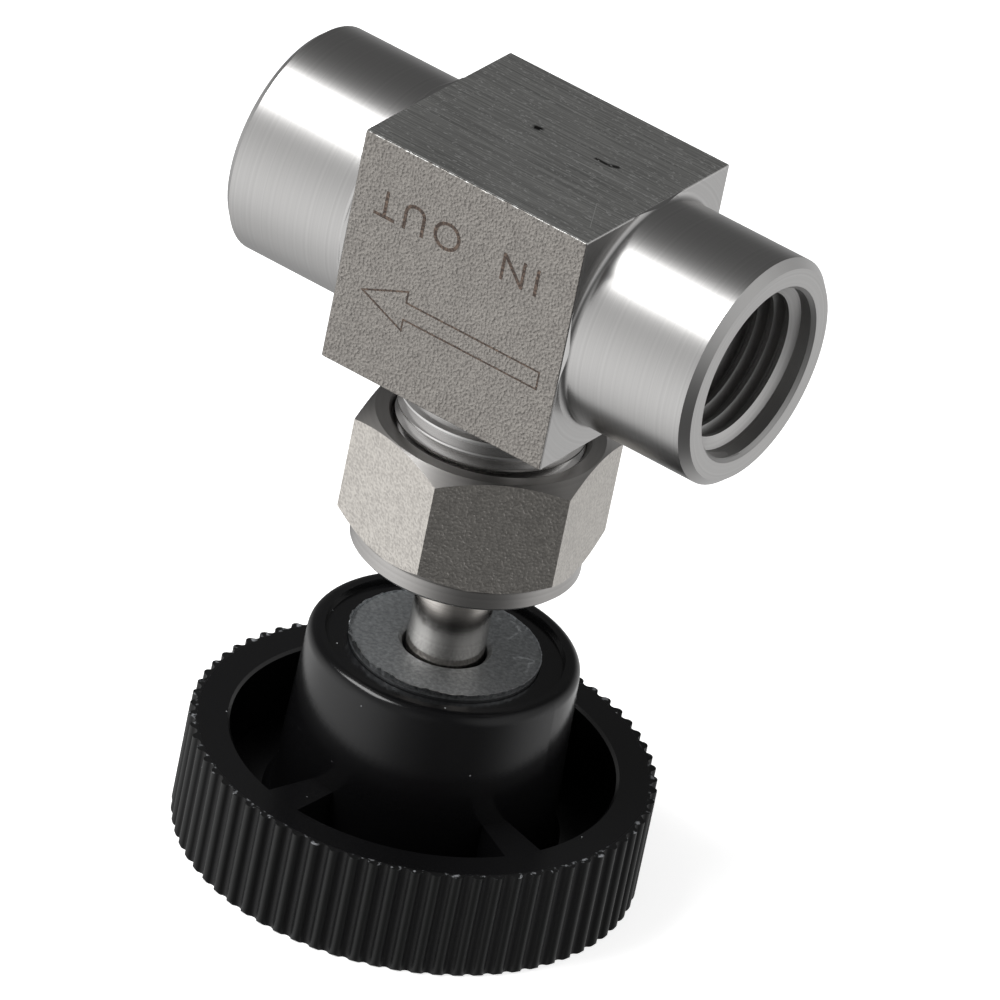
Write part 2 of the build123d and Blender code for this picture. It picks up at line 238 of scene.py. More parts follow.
# %% [markdown]
# ## Marks on the block
# A laser draws the flow arrow as one thin dark line: a plain head and a straight shaft, as many
# valves carry. The outline starts as a circle with as many corners as the arrow has. Each corner is
# moved to its place, an inset of one line's width makes a frame of even width, and the middle is
# deleted. The frame is a few hundredths of a millimetre thick and lies on the face, so it moves
# with the body.

# %% The arrow's outline
ARROW_Z = FLOW_Z - 3.25 * MM
ARROW_TIP, HEAD_BACK, TAIL = -7.6, -3.6, 8.1      # along the flow axis, in millimetres
HEAD_HALF, SHAFT_HALF = 1.7, 0.75                 # across it
LINE = 0.13                                       # width of the drawn line
upper = [(HEAD_BACK, HEAD_HALF), (HEAD_BACK, SHAFT_HALF), (TAIL, SHAFT_HALF)]
arrow_corners = [(ARROW_TIP, 0)] + upper + [(x, -z) for x, z in reversed(upper)]
MARK_SINK, MARK_RISE = 0.01 * MM, 0.012 * MM

deselect()
bpy.ops.mesh.primitive_circle_add(vertices=len(arrow_corners), radius=0.01, fill_type="NGON")
flow_arrow = bpy.context.object
for vertex, (x, z) in zip(flow_arrow.data.vertices, arrow_corners):
    vertex.co = (x * MM, FRONT_Y - MARK_RISE, ARROW_Z + z * MM)
bpy.ops.object.mode_set(mode="EDIT")
bpy.ops.mesh.select_mode(type="FACE")
bpy.ops.mesh.select_all(action="SELECT")
bpy.ops.mesh.inset(thickness=LINE * MM, depth=0)
bpy.ops.mesh.delete(type="FACE")
bpy.ops.mesh.select_all(action="SELECT")
bpy.ops.mesh.extrude_region_move(
    TRANSFORM_OT_translate={"value": (0, MARK_RISE + MARK_SINK, 0)})
bpy.ops.mesh.select_all(action="SELECT")
bpy.ops.mesh.normals_make_consistent(inside=False)
bpy.ops.object.mode_set(mode="OBJECT")
settle(flow_arrow, "flow_arrow", 30)

# %% [markdown]
# Two plain words say which port is which. They are drawn upside down here, because they read
# upright when the handwheel is on top. Text becomes a mesh before its place is applied.

# %% The words beside the ports
WORD_HEIGHT = 2.25            # of a capital letter, in millimetres
CAPITAL_SHARE = 0.7           # of the font's size, that a capital letter takes
WORD_Z = FLOW_Z + 4.1 * MM


def word(text, name, x):
    """A thin word on the front face, centred at x, upright with the handwheel on top."""
    deselect()
    bpy.ops.object.text_add()
    made = bpy.context.object
    made.data.body = text
    made.data.size = WORD_HEIGHT * MM / CAPITAL_SHARE
    made.data.align_x = "CENTER"
    made.data.align_y = "CENTER"
    made.data.space_character = 1.25
    made.data.extrude = (MARK_SINK + MARK_RISE) / 2
    made.data.offset = -0.02 * MM
    bpy.ops.object.convert(target="MESH")
    made.rotation_euler = (math.pi / 2, math.pi, 0)
    made.location = (x, FRONT_Y - (MARK_RISE - MARK_SINK) / 2, WORD_Z)
    return settle(made, name, 30)


outlet_word = word("OUT", "outlet_mark", -4.0 * MM)
inlet_word = word("IN", "inlet_mark", 4.9 * MM)

# %% [markdown]
# ## Flash round the cast insert
# The zinc core was cast, then moulded into the wheel. Metal that crept past the mould's edge
# stands up as a thin ragged rim. It starts as a tube as thin as that rim, and its top edge is
# raised and lowered at random, with a fixed seed so that every run gives the same rim.

# %% The ragged rim
random.seed(7)
FLASH_WALL = 0.1 * MM
FLASH_DEPTH = 0.34 * MM       # half of it is sunk in the insert's edge
HIGHEST_SIDE = math.radians(-128)
deselect()
bpy.ops.mesh.primitive_cylinder_add(vertices=220, radius=insert_high.x, depth=FLASH_DEPTH,
                                    end_fill_type="NOTHING", location=(0, 0, insert_high.z))
insert_flash = bpy.context.object
choose(insert_flash)
bpy.ops.object.transform_apply(location=True)
lump = 0.0
for vertex in insert_flash.data.vertices:
    if vertex.co.z > insert_high.z:
        angle = math.atan2(vertex.co.y, vertex.co.x)
        swell = 0.5 + 0.5 * math.cos(angle - HIGHEST_SIDE)
        lump = 0.6 * lump + 0.4 * random.random()
        rise = 0.02 + 0.16 * lump * random.random() + 0.5 * swell ** 5 * lump
        lean = 1 + (random.random() - 0.35) * (0.006 + 0.03 * swell ** 6)
        vertex.co = (vertex.co.x * lean, vertex.co.y * lean, insert_high.z + rise * MM)
modify(insert_flash, "SOLIDIFY", thickness=FLASH_WALL, offset=0.2)
settle(insert_flash, "insert_flash", 50)

# %% [markdown]
# ## Who moves with whom
# Every new piece rides on the CAD body that carries it, so that it follows when the handwheel or
# the nut is turned.

# %% Ride on the bodies
for piece in (neck_thread, inlet_thread, outlet_thread, flow_arrow, outlet_word, inlet_word):
    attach(piece, "valve_body")
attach(insert_flash, "handwheel")

# %% [markdown]
# ## Tools for the materials
# Colours are written as the hex values that a screen shows, and one function turns them to the
# linear numbers that a shader needs. Another adds a node with its settings and links. Patterns
# are worked out in millimetres from Object coordinates, so they stay on the piece as it moves.

# %% Colour, node and material helpers
def colour(code):
    """A linear colour from an sRGB hex code."""
    parts = [int(code[at:at + 2], 16) / 255 for at in (1, 3, 5)]
    return [c / 12.92 if c <= 0.04045 else ((c + 0.055) / 1.055) ** 2.4 for c in parts] + [1]


def add(tree, kind, inputs=None, **settings):
    """Adds a node. A value in inputs is a number, a colour or another node's output."""
    made = tree.nodes.new("ShaderNode" + kind)
    for setting, value in settings.items():
        setattr(made, setting, value)
    for socket, value in (inputs or {}).items():
        if isinstance(value, bpy.types.NodeSocket):
            tree.links.new(value, made.inputs[socket])
        else:
            made.inputs[socket].default_value = value
    return made


def new_material(name, **shader_values):
    """A material with one shader, and its tree."""
    material = bpy.data.materials.new(name)
    material.use_nodes = True
    shader = material.node_tree.nodes["Principled BSDF"]
    for socket, value in shader_values.items():
        shader.inputs[socket.replace("_", " ")].default_value = value
    return material, material.node_tree, shader


def millimetres(tree, centre=(0, 0, 0)):
    """Object coordinates in millimetres, measured from a centre given in metres."""
    spot = add(tree, "TexCoord").outputs["Object"]
    return add(tree, "Mapping", {"Vector": spot, "Scale": (1000, 1000, 1000),
                                 "Location": [-1000 * c for c in centre]}).outputs[0]


def cover(material, *pieces):
    """Gives pieces this one material."""
    for piece in pieces:
        piece.data.materials.clear()
        piece.data.materials.append(material)

# %% [markdown]
# ## How steel was cut
# Three tools left their marks on this valve. A lathe leaves fine rings round its axis. A milling
# cutter leaves fine straight lines. Blasting with grit leaves pits about a fifth of a millimetre
# across. Each is a height in millimetres, and a bump node turns heights to shading.

# %% Heights of the three finishes
GRIT = 0.21                    # mm, from pit to pit; finer grit would not show
LATHE_FEED = 0.11              # mm between rings; the real 0.05 would be too fine to show
CUTTER_LINE = 0.16             # mm between milled lines
PIT_SHADE_LOW, PIT_SHADE_HIGH = 0.42, 0.78 # between these heights the colour goes from a pit's painted shade to a crest's lighter grey


def grit_height(tree, place):
    """Blasted pits: rounded little craters, and a quarter as much of a slow waviness."""
    pits = add(tree, "TexNoise", {"Vector": place, "Scale": 1 / GRIT, "Detail": 0.8,
                                  "Roughness": 0.5}).outputs[0]
    wide = add(tree, "TexNoise", {"Vector": place, "Scale": 0.2 / GRIT, "Detail": 1.0}).outputs[0]
    return add(tree, "Math", {0: wide, 1: 0.25, 2: pits}, operation="MULTIPLY_ADD").outputs[0]


def ring_height(tree, along, radius):
    """Lathe rings: they change along the axis and out from it, and not round it."""
    path = add(tree, "Math", {0: along, 1: radius}, operation="ADD").outputs[0]
    return add(tree, "TexNoise", {"W": path, "Scale": 0.5 / LATHE_FEED, "Detail": 3.0,
                                  "Roughness": 0.7}, noise_dimensions="1D").outputs[0]


def distance_from(tree, first, second):
    """How far out from an axis a point is, from its two places across that axis."""
    square = add(tree, "Math", {0: first, 1: first}, operation="MULTIPLY").outputs[0]
    total = add(tree, "Math", {0: second, 1: second, 2: square},
                operation="MULTIPLY_ADD").outputs[0]
    return add(tree, "Math", {0: total}, operation="SQRT").outputs[0]

# %% [markdown]
# ## Scratches
# A machined face that has lain on a bench is never clean. A scratch is a short straight mark, so
# one function makes a mask for it: the place is turned until the scratch lies along X, and the mask
# is 1 where that place is near enough to its middle both ways.

# %% A mask for one scratch
def stroke(tree, place, start, end, half_width):
    """A mask that is 1 along a straight mark between two points in X and Y, in millimetres."""
    middle = ((start[0] + end[0]) / 2, (start[1] + end[1]) / 2, 0)
    half_run = math.dist(start, end) / 2
    slant = math.atan2(end[1] - start[1], end[0] - start[0])
    shifted = add(tree, "VectorMath", {0: place, 1: middle}, operation="SUBTRACT").outputs[0]
    level = add(tree, "VectorRotate", {"Vector": shifted, "Angle": -slant}, rotation_type="Z_AXIS")
    spot = add(tree, "SeparateXYZ", {0: level.outputs[0]}).outputs
    mask = 1.0
    for way, half in ((0, half_run), (1, half_width)):
        away = add(tree, "Math", {0: spot[way]}, operation="ABSOLUTE").outputs[0]
        near = add(tree, "MapRange", {0: away, 1: half - 0.5 * half_width,
                                      2: half + 0.5 * half_width, 3: 1.0, 4: 0.0}).outputs[0]
        mask = add(tree, "Math", {0: near, 1: mask}, operation="MULTIPLY").outputs[0]
    return mask

# %% [markdown]
# ## The valve body
# The body is one bar of stainless steel, and three finishes meet on it. Where each begins is read
# from the place on the piece: past the block's sides everything is turned, its top is milled, and
# its front and back are blasted. Masks that go from 0 to 1 over a few hundredths of a millimetre
# keep the borders crisp.

# %% Where each finish of the body lies
def body_masks(tree, spot, flow_radius):
    """Masks for the block, its blasted faces, its milled top and the two port bores."""
    across_x = add(tree, "Math", {0: spot[0]}, operation="ABSOLUTE").outputs[0]
    across_y = add(tree, "Math", {0: spot[1]}, operation="ABSOLUTE").outputs[0]
    in_block = add(tree, "MapRange", {0: across_x, 1: BLOCK_SIDE - 0.1, 2: BLOCK_SIDE - 0.02,
                                      3: 1.0, 4: 0.0}).outputs[0]
    at_face = add(tree, "MapRange", {0: across_y, 1: BLOCK_FACE - 0.09,
                                     2: BLOCK_FACE - 0.03}).outputs[0]
    at_top = add(tree, "MapRange", {0: spot[2], 1: BLOCK_FACE - 0.07,
                                    2: BLOCK_FACE - 0.01}).outputs[0]
    blasted = add(tree, "Math", {0: in_block, 1: at_face}, operation="MULTIPLY").outputs[0]
    milled = add(tree, "Math", {0: in_block, 1: at_top}, operation="MULTIPLY").outputs[0]

    bore_edge = 1000 * PORT_R + 0.26
    past_block = add(tree, "Math", {0: 1.0, 1: in_block}, operation="SUBTRACT").outputs[0]
    in_bore = add(tree, "MapRange", {0: flow_radius, 1: bore_edge, 2: bore_edge + 0.06,
                                     3: 1.0, 4: 0.0}).outputs[0]
    in_bore = add(tree, "Math", {0: in_bore, 1: past_block}, operation="MULTIPLY").outputs[0]
    return across_x, in_block, blasted, milled, in_bore

# %% [markdown]
# The cutter's lines are a noise stretched along X. The same noise drives the relief and the colour
# of the milled top, and a deep line gets a darker colour as painted shade in its groove. Over them
# lie two long scratches and small nicks, which shine, a smear, which is dark, and a near-black
# spot.

# %% Colour of the milled top
TOP_MARKS = [                 # colour, then each mark's two ends and half its width in millimetres
    ("#f0f0ee", [((1.04, -0.06), (9.41, 0.23), 0.035), ((6.82, -3.63), (8.53, -6.91), 0.025)]),
    ("#3f3e3c", [((3.04, 1.46), (4.2, 1.42), 0.16), ((4.2, 1.42), (4.99, 1.79), 0.2)]),
    ("#141312", [((-2.4, 1.45), (-1.65, 1.6), 0.28)]),
]


def milled_lines(tree, place):
    """The cutter's lines, as a number from 0 to 1."""
    stretched = add(tree, "Mapping", {"Vector": place,
                                      "Scale": (0.12, 1 / CUTTER_LINE, 1)}).outputs[0]
    return add(tree, "TexNoise", {"Vector": stretched, "Scale": 1.0, "Detail": 3.0,
                                  "Roughness": 0.65}).outputs[0]


def milled_colour(tree, place, lines):
    """Painted shade in the deep cutter lines, then the marks and nicks."""
    # painted shade: the milled top is coloured darker where the cutter's lines are deep
    deep_line_shade = add(tree, "MapRange", {0: lines, 1: 0.35, 2: 0.68}).outputs[0]
    tint = add(tree, "Mix", {0: deep_line_shade, 6: colour("#a6a6a4"), 7: colour("#dededb")},
               data_type="RGBA").outputs[2]
    for code, strokes in TOP_MARKS:
        for start, end, half_width in strokes:
            mask = stroke(tree, place, start, end, half_width)
            tint = add(tree, "Mix", {0: mask, 6: tint, 7: colour(code)},
                       data_type="RGBA").outputs[2]
    nicks = add(tree, "Mapping", {"Vector": place, "Scale": (1.1, 3.0, 1)}).outputs[0]
    nicks = add(tree, "TexNoise", {"Vector": nicks, "Scale": 2.2, "Detail": 2.0}).outputs[0]
    nicks = add(tree, "MapRange", {0: nicks, 1: 0.61, 2: 0.67}).outputs[0]
    return add(tree, "Mix", {0: nicks, 6: tint, 7: colour("#f0f0ee")},
               data_type="RGBA").outputs[2]

# %% [markdown]
# The cutter also left a ragged burr along the top edge of the marked face, and its bright colour is
# partly a painted highlight along that edge. It lies where three masks overlap: near the top, near
# the front, and where a noise is high.

# %% Burr along the top front edge
def edge_burr_and_highlight(tree, place, spot, in_block):
    """A broken line along one edge of the block."""
    high = add(tree, "MapRange", {0: spot[2], 1: BLOCK_FACE - 0.13,
                                  2: BLOCK_FACE - 0.05}).outputs[0]
    front = add(tree, "MapRange", {0: spot[1], 1: 0.11 - BLOCK_FACE, 2: 0.17 - BLOCK_FACE,
                                   3: 1.0, 4: 0.0}).outputs[0]
    ragged = add(tree, "TexNoise", {"Vector": place, "Scale": 1.6, "Detail": 3.0}).outputs[0]
    ragged = add(tree, "MapRange", {0: ragged, 1: 0.4, 2: 0.56}).outputs[0]
    ragged_edge_mask = in_block
    for share in (high, front, ragged):
        ragged_edge_mask = add(tree, "Math", {0: ragged_edge_mask, 1: share}, operation="MULTIPLY").outputs[0]
    return ragged_edge_mask

# %% [markdown]
# The masks now choose between the finishes three times: for the relief, for the colour and for the
# roughness. Blasted steel is given a warmer, darker grey than cut steel, as painted shade for the
# light that its pits catch many times over, and each pit is painted darker than the crests round
# it.

# %% Stainless steel, blasted, milled and turned
def body_steel():
    material, tree, shader = new_material("stainless_steel_body", Metallic=1.0)
    place = millimetres(tree, (0, 0, FLOW_Z))
    spot = add(tree, "SeparateXYZ", {0: place}).outputs
    flow_radius = distance_from(tree, spot[1], spot[2])
    across_x, in_block, blasted, milled, in_bore = body_masks(tree, spot, flow_radius)

    # each finish's height in millimetres
    grit = grit_height(tree, place)
    rings = ring_height(tree, across_x, flow_radius)
    lines = milled_lines(tree, place)
    height = add(tree, "Math", {0: rings, 1: 0.0008}, operation="MULTIPLY").outputs[0]
    for mask, relief, depth in ((milled, lines, 0.009), (blasted, grit, 0.12)):
        relief = add(tree, "Math", {0: relief, 1: depth}, operation="MULTIPLY").outputs[0]
        height = add(tree, "Mix", {0: mask, 2: height, 3: relief}).outputs[0]
    bump = add(tree, "Bump", {"Height": height, "Distance": MM, "Strength": 1.0})
    tree.links.new(bump.outputs[0], shader.inputs["Normal"])

    turned = add(tree, "MapRange", {0: rings, 1: 0.3, 2: 0.7}).outputs[0]
    tint = add(tree, "Mix", {0: turned, 6: colour("#a9a8a7"), 7: colour("#b2b1b0")},
               data_type="RGBA").outputs[2]
    # painted shade: the blasted faces are coloured darker in the pits than on the crests
    pit_shade = add(tree, "MapRange", {0: grit, 1: PIT_SHADE_LOW, 2: PIT_SHADE_HIGH}).outputs[0]
    blasted_tint_with_pit_shade = add(tree, "Mix", {0: pit_shade, 6: colour("#85817d"), 7: colour("#9c9893")},
                       data_type="RGBA").outputs[2]
    # partly a burr and partly a painted highlight: a near-white colour along the top front edge
    ragged_edge_mask = edge_burr_and_highlight(tree, place, spot, in_block)
    for mask, over in ((milled, milled_colour(tree, place, lines)), (blasted, blasted_tint_with_pit_shade),
                       (ragged_edge_mask, colour("#f4f4f2"))):
        tint = add(tree, "Mix", {0: mask, 6: tint, 7: over}, data_type="RGBA").outputs[2]
    tree.links.new(tint, shader.inputs["Base Color"])

    rough = 0.31
    for mask, over in ((milled, 0.36), (blasted, 0.5), (in_bore, 0.48)):
        rough = add(tree, "Mix", {0: mask, 2: rough, 3: over}).outputs[0]
    tree.links.new(rough, shader.inputs["Roughness"])
    return material


steel_body = body_steel()
cover(steel_body, nodes["valve_body"])
print("body:", steel_body.name)

# %% [markdown]
# ## Threads and turned parts
# The threads, the stem and the inner rings were only turned. Rings round the flow axis and rings
# round the stem need different coordinates, so the function is told which axis to use.

# %% Turned steel
def turned_steel(name, axis, low, high, roughness, depth, centre=(0, 0, 0)):
    """Steel from the lathe, with rings round the flow axis (0) or round the stem (2)."""
    material, tree, shader = new_material(name, Metallic=1.0, Roughness=roughness)
    spot = add(tree, "SeparateXYZ", {0: millimetres(tree, centre)}).outputs
    first, second = [at for at in (0, 1, 2) if at != axis]
    rings = ring_height(tree, spot[axis], distance_from(tree, spot[first], spot[second]))
    tint = add(tree, "Mix", {0: rings, 6: colour(low), 7: colour(high)},
               data_type="RGBA").outputs[2]
    tree.links.new(tint, shader.inputs["Base Color"])
    height = add(tree, "Math", {0: rings, 1: depth}, operation="MULTIPLY").outputs[0]
    bump = add(tree, "Bump", {"Height": height, "Distance": MM, "Strength": 1.0})
    tree.links.new(bump.outputs[0], shader.inputs["Normal"])
    return material


port_steel = turned_steel("threaded_stainless_steel", 0, "#a9a8a7", "#c8c7c6", 0.42, 0.001,
                          (0, 0, FLOW_Z))
neck_steel = turned_steel("threaded_neck_steel", 2, "#b4b3b2", "#d6d5d4", 0.2, 0.001)
stem_steel = turned_steel("polished_stem_steel", 2, "#b3aea9", "#cfcbc6", 0.17, 0.0012)
inner_steel = turned_steel("fine_turned_steel", 2, "#b4b4b4", "#d2d2d2", 0.25, 0.0015)
spring_steel = turned_steel("hardened_spring_steel", 2, "#5c5b5a", "#7d7b79", 0.35, 0.001)
plated_steel = turned_steel("zinc_plated_steel", 2, "#b9bbbd", "#d9dcde", 0.3, 0.001)
cover(port_steel, inlet_thread, outlet_thread)
cover(neck_steel, neck_thread)
cover(stem_steel, nodes["stem"])
cover(inner_steel, nodes["needle_tip"], nodes["gland_follower"],
      nodes["outer_packing_washer"], nodes["inner_packing_washer"])
cover(spring_steel, nodes["tip_retaining_ring"], nodes["spring_washer"])
cover(plated_steel, nodes["fixing_washer"], nodes["fixing_screw"])

# %% [markdown]
# ## The packing nut
# The nut is cut from hexagon bar. Its six flats keep the blasted skin, and the lathe gave it the
# bright chamfers and the collar. A flat is found by its height on the nut and by a normal that
# points sideways.

# %% Stainless steel nut
COLLAR_HEIGHT = 1.6           # mm of turned collar below the flats


def nut_steel():
    material, tree, shader = new_material("stainless_steel_nut", Metallic=1.0)
    place = millimetres(tree)
    spot = add(tree, "SeparateXYZ", {0: place}).outputs
    normal = add(tree, "SeparateXYZ", {0: add(tree, "TexCoord").outputs["Normal"]}).outputs
    upright = add(tree, "Math", {0: normal[2]}, operation="ABSOLUTE").outputs[0]
    sideways = add(tree, "MapRange", {0: upright, 1: 0.3, 2: 0.5, 3: 1.0, 4: 0.0}).outputs[0]
    collar_top = 1000 * nut_low.z + COLLAR_HEIGHT
    above = add(tree, "MapRange", {0: spot[2], 1: collar_top, 2: collar_top + 0.05}).outputs[0]
    flat = add(tree, "Math", {0: sideways, 1: above}, operation="MULTIPLY").outputs[0]

    grit = grit_height(tree, place)
    rings = ring_height(tree, spot[2], distance_from(tree, spot[0], spot[1]))
    turned = add(tree, "Math", {0: rings, 1: 0.0009}, operation="MULTIPLY").outputs[0]
    blasted = add(tree, "Math", {0: grit, 1: 0.065}, operation="MULTIPLY").outputs[0]
    height = add(tree, "Mix", {0: flat, 2: turned, 3: blasted}).outputs[0]
    bump = add(tree, "Bump", {"Height": height, "Distance": MM, "Strength": 1.0})
    tree.links.new(bump.outputs[0], shader.inputs["Normal"])

    # painted shade: the blasted flats are coloured darker in the pits than on the crests
    pit_shade = add(tree, "MapRange", {0: grit, 1: PIT_SHADE_LOW, 2: PIT_SHADE_HIGH}).outputs[0]
    flat_tint_with_pit_shade = add(tree, "Mix", {0: pit_shade, 6: colour("#a9a5a0"), 7: colour("#c2beb8")},
               data_type="RGBA").outputs[2]
    cut = add(tree, "Mix", {0: rings, 6: colour("#959391"), 7: colour("#aeacaa")},
              data_type="RGBA").outputs[2]
    tint = add(tree, "Mix", {0: flat, 6: cut, 7: flat_tint_with_pit_shade}, data_type="RGBA").outputs[2]
    tree.links.new(tint, shader.inputs["Base Color"])
    rough = add(tree, "Mix", {0: flat, 2: 0.3, 3: 0.4}).outputs[0]
    tree.links.new(rough, shader.inputs["Roughness"])
    return material


cover(nut_steel(), nodes["packing_nut"])
print("nut covered")

# %% [markdown]
# ## Laser marks
# A marking laser grows a thin brown-black oxide on the steel. It is not a metal's bright surface
# any more, so it gets a dull, slightly patchy dark colour.

# %% Laser oxide
def laser_oxide():
    material, tree, shader = new_material("laser_oxide", Metallic=0.3, Roughness=0.6)
    patch = add(tree, "TexNoise", {"Vector": millimetres(tree), "Scale": 1 / GRIT,
                                   "Detail": 2.0}).outputs[0]
    patch = add(tree, "MapRange", {0: patch, 1: 0.42, 2: 0.7}).outputs[0]
    tint = add(tree, "Mix", {0: patch, 6: colour("#3a2f29"), 7: colour("#6d5c50")},
               data_type="RGBA").outputs[2]
    tree.links.new(tint, shader.inputs["Base Color"])
    return material


cover(laser_oxide(), flow_arrow, outlet_word, inlet_word)
print("marks covered")

# %% [markdown]
# ## Cast zinc
# The insert was never machined on top. A casting's skin is a dull grey with bright grains where
# handling has rubbed it, so the relief and the colour share one coarse noise. Two pale curls lie on
# one side of it. Each is a chain of straight strokes, and the place is swayed by a noise before
# they are drawn, so that they wander. A second noise breaks them up, and they shine less than the
# metal does.

# %% Pale curls
CURLS = [                     # the points that each curl goes through, in millimetres
    [(0.55, 5.08), (0.92, 6.2), (1.94, 6.42), (2.84, 5.42), (2.68, 4.37)],
    [(4.47, 2.38), (4.88, 3.32), (5.8, 2.79), (5.98, 1.53)],
]


def curl_mask(tree, place, curls):
    """A mask that is 1 on the curls."""
    sway = add(tree, "TexNoise", {"Vector": place, "Scale": 1.1, "Detail": 2.0}).outputs[1]
    sway = add(tree, "VectorMath", {0: sway, 1: (0.5, 0.5, 0.5)}, operation="SUBTRACT").outputs[0]
    sway = add(tree, "VectorMath", {0: sway, "Scale": 1.3}, operation="SCALE").outputs[0]
    swayed = add(tree, "VectorMath", {0: place, 1: sway}, operation="ADD").outputs[0]
    pale = 0.0
    for points in curls:
        for start, end in zip(points, points[1:]):
            curl = stroke(tree, swayed, start, end, 0.13)
            pale = add(tree, "Math", {0: curl, 1: pale}, operation="MAXIMUM").outputs[0]
    broken = add(tree, "TexNoise", {"Vector": place, "Scale": 2.6, "Detail": 3.0}).outputs[0]
    broken = add(tree, "MapRange", {0: broken, 1: 0.42, 2: 0.6}).outputs[0]
    return add(tree, "Math", {0: pale, 1: broken}, operation="MULTIPLY").outputs[0]

# %% As-cast zinc
def cast_zinc(name, dark, bright, roughness, curls=()):
    material, tree, shader = new_material(name, Metallic=1.0, Roughness=roughness)
    place = millimetres(tree)
    grain = add(tree, "TexNoise", {"Vector": place, "Scale": 3.2, "Detail": 4.0,
                                   "Roughness": 0.7}).outputs[0]
    share = add(tree, "MapRange", {0: grain, 1: 0.4, 2: 0.68}).outputs[0]
    tint = add(tree, "Mix", {0: share, 6: colour(dark), 7: colour(bright)},
               data_type="RGBA").outputs[2]
    if curls:
        pale = curl_mask(tree, place, curls)
        tint = add(tree, "Mix", {0: pale, 6: tint, 7: colour("#b4b8ba")},
                   data_type="RGBA").outputs[2]
        metal = add(tree, "MapRange", {0: pale, 3: 1.0, 4: 0.2}).outputs[0]
        tree.links.new(metal, shader.inputs["Metallic"])
    tree.links.new(tint, shader.inputs["Base Color"])
    height = add(tree, "Math", {0: grain, 1: 0.022}, operation="MULTIPLY").outputs[0]
    bump = add(tree, "Bump", {"Height": height, "Distance": MM, "Strength": 1.0})
    tree.links.new(bump.outputs[0], shader.inputs["Normal"])
    return material


cover(cast_zinc("as_cast_zinc", "#989b9d", "#bfc2c4", 0.5, CURLS), nodes["handwheel_insert"])
cover(cast_zinc("zinc_flash", "#a4a8ab", "#e2e5e7", 0.3), insert_flash)
print("casting covered")

# %% [markdown]
# ## Moulded black plastic
# The wheel is moulded in a black plastic such as nylon. Its hub is glossy, and its ribs are duller
# from handling. Two things break up the black. The trimmed edge at the top of the ribs shows pale
# burrs, and a few specks of dust lie on it.

# %% Burrs and dust
RIB_DEPTH = 0.45              # mm from a rib's crest to the groove beside it
RIM_TOP = 8.5                 # mm up to the trimmed edge of the ribs


def rib_burrs(tree, place, spot, on_ribs):
    """A broken line round the top of the ribs."""
    edge = add(tree, "Math", {0: spot[2], 1: RIM_TOP}, operation="SUBTRACT").outputs[0]
    edge = add(tree, "Math", {0: edge}, operation="ABSOLUTE").outputs[0]
    near = add(tree, "MapRange", {0: edge, 1: 0.02, 2: 0.08, 3: 1.0, 4: 0.0}).outputs[0]
    ragged = add(tree, "TexNoise", {"Vector": place, "Scale": 2.2, "Detail": 3.0}).outputs[0]
    ragged = add(tree, "MapRange", {0: ragged, 1: 0.58, 2: 0.68}).outputs[0]
    ragged_edge_mask = add(tree, "Math", {0: near, 1: on_ribs}, operation="MULTIPLY").outputs[0]
    return add(tree, "Math", {0: ragged_edge_mask, 1: ragged}, operation="MULTIPLY").outputs[0]


def dust_specks(tree, place):
    """Specks of dust, each a small disc in a cell that a random number picks."""
    cells = add(tree, "TexVoronoi", {"Vector": place, "Scale": 0.75, "Randomness": 1.0})
    speck = add(tree, "MapRange", {0: cells.outputs["Distance"], 1: 0.035, 2: 0.05,
                                   3: 1.0, 4: 0.0}).outputs[0]
    number = add(tree, "SeparateXYZ", {0: cells.outputs["Color"]}).outputs[0]
    picked = add(tree, "MapRange", {0: number, 1: 0.8, 2: 0.81}).outputs[0]
    return add(tree, "Math", {0: speck, 1: picked}, operation="MULTIPLY").outputs[0]

# %% [markdown]
# The wheel and its cap are one plastic. The cap is shut in against the floor, so it goes without
# the hub's gloss, the burrs and the dust.

# %% Black moulding
def black_moulding(name, dusty):
    material, tree, shader = new_material(name, IOR=1.5, Specular_IOR_Level=0.28)
    place = millimetres(tree)
    grain = add(tree, "TexNoise", {"Vector": place, "Scale": 9.0, "Detail": 2.0}).outputs[0]
    tint = add(tree, "Mix", {0: grain, 6: colour("#0a0a0b"), 7: colour("#0f0f10")},
               data_type="RGBA").outputs[2]
    rough = add(tree, "MapRange", {0: grain, 1: 0.3, 2: 0.7, 3: 0.2, 4: 0.27}).outputs[0]
    if dusty:
        spot = add(tree, "SeparateXYZ", {0: place}).outputs
        radius = distance_from(tree, spot[0], spot[1])
        groove = 1000 * wheel_high.x - RIB_DEPTH
        on_hub = add(tree, "MapRange", {0: radius, 1: 10.2, 2: 11.0, 3: 1.0, 4: 0.0}).outputs[0]
        on_ribs = add(tree, "MapRange", {0: radius, 1: groove - 0.2, 2: groove}).outputs[0]
        crest = add(tree, "MapRange", {0: radius, 1: groove + 0.1, 2: groove + 0.43}).outputs[0]
        for mask, over in ((on_hub, 0.17), (on_ribs, 0.5)):
            rough = add(tree, "Mix", {0: mask, 2: rough, 3: over}).outputs[0]
        for mask, code in ((crest, "#0c0d0d"), (rib_burrs(tree, place, spot, on_ribs), "#8a8c8f"),
                           (dust_specks(tree, place), "#b9bbbd")):
            tint = add(tree, "Mix", {0: mask, 6: tint, 7: colour(code)},
                       data_type="RGBA").outputs[2]
    tree.links.new(tint, shader.inputs["Base Color"])
    tree.links.new(rough, shader.inputs["Roughness"])
    height = add(tree, "Math", {0: grain, 1: 0.003}, operation="MULTIPLY").outputs[0]
    bump = add(tree, "Bump", {"Height": height, "Distance": MM, "Strength": 1.0})
    tree.links.new(bump.outputs[0], shader.inputs["Normal"])
    return material


cover(black_moulding("moulded_black_nylon", True), nodes["handwheel"])
cover(black_moulding("moulded_black_cap", False), nodes["centre_cap"])
print("wheel and cap covered")

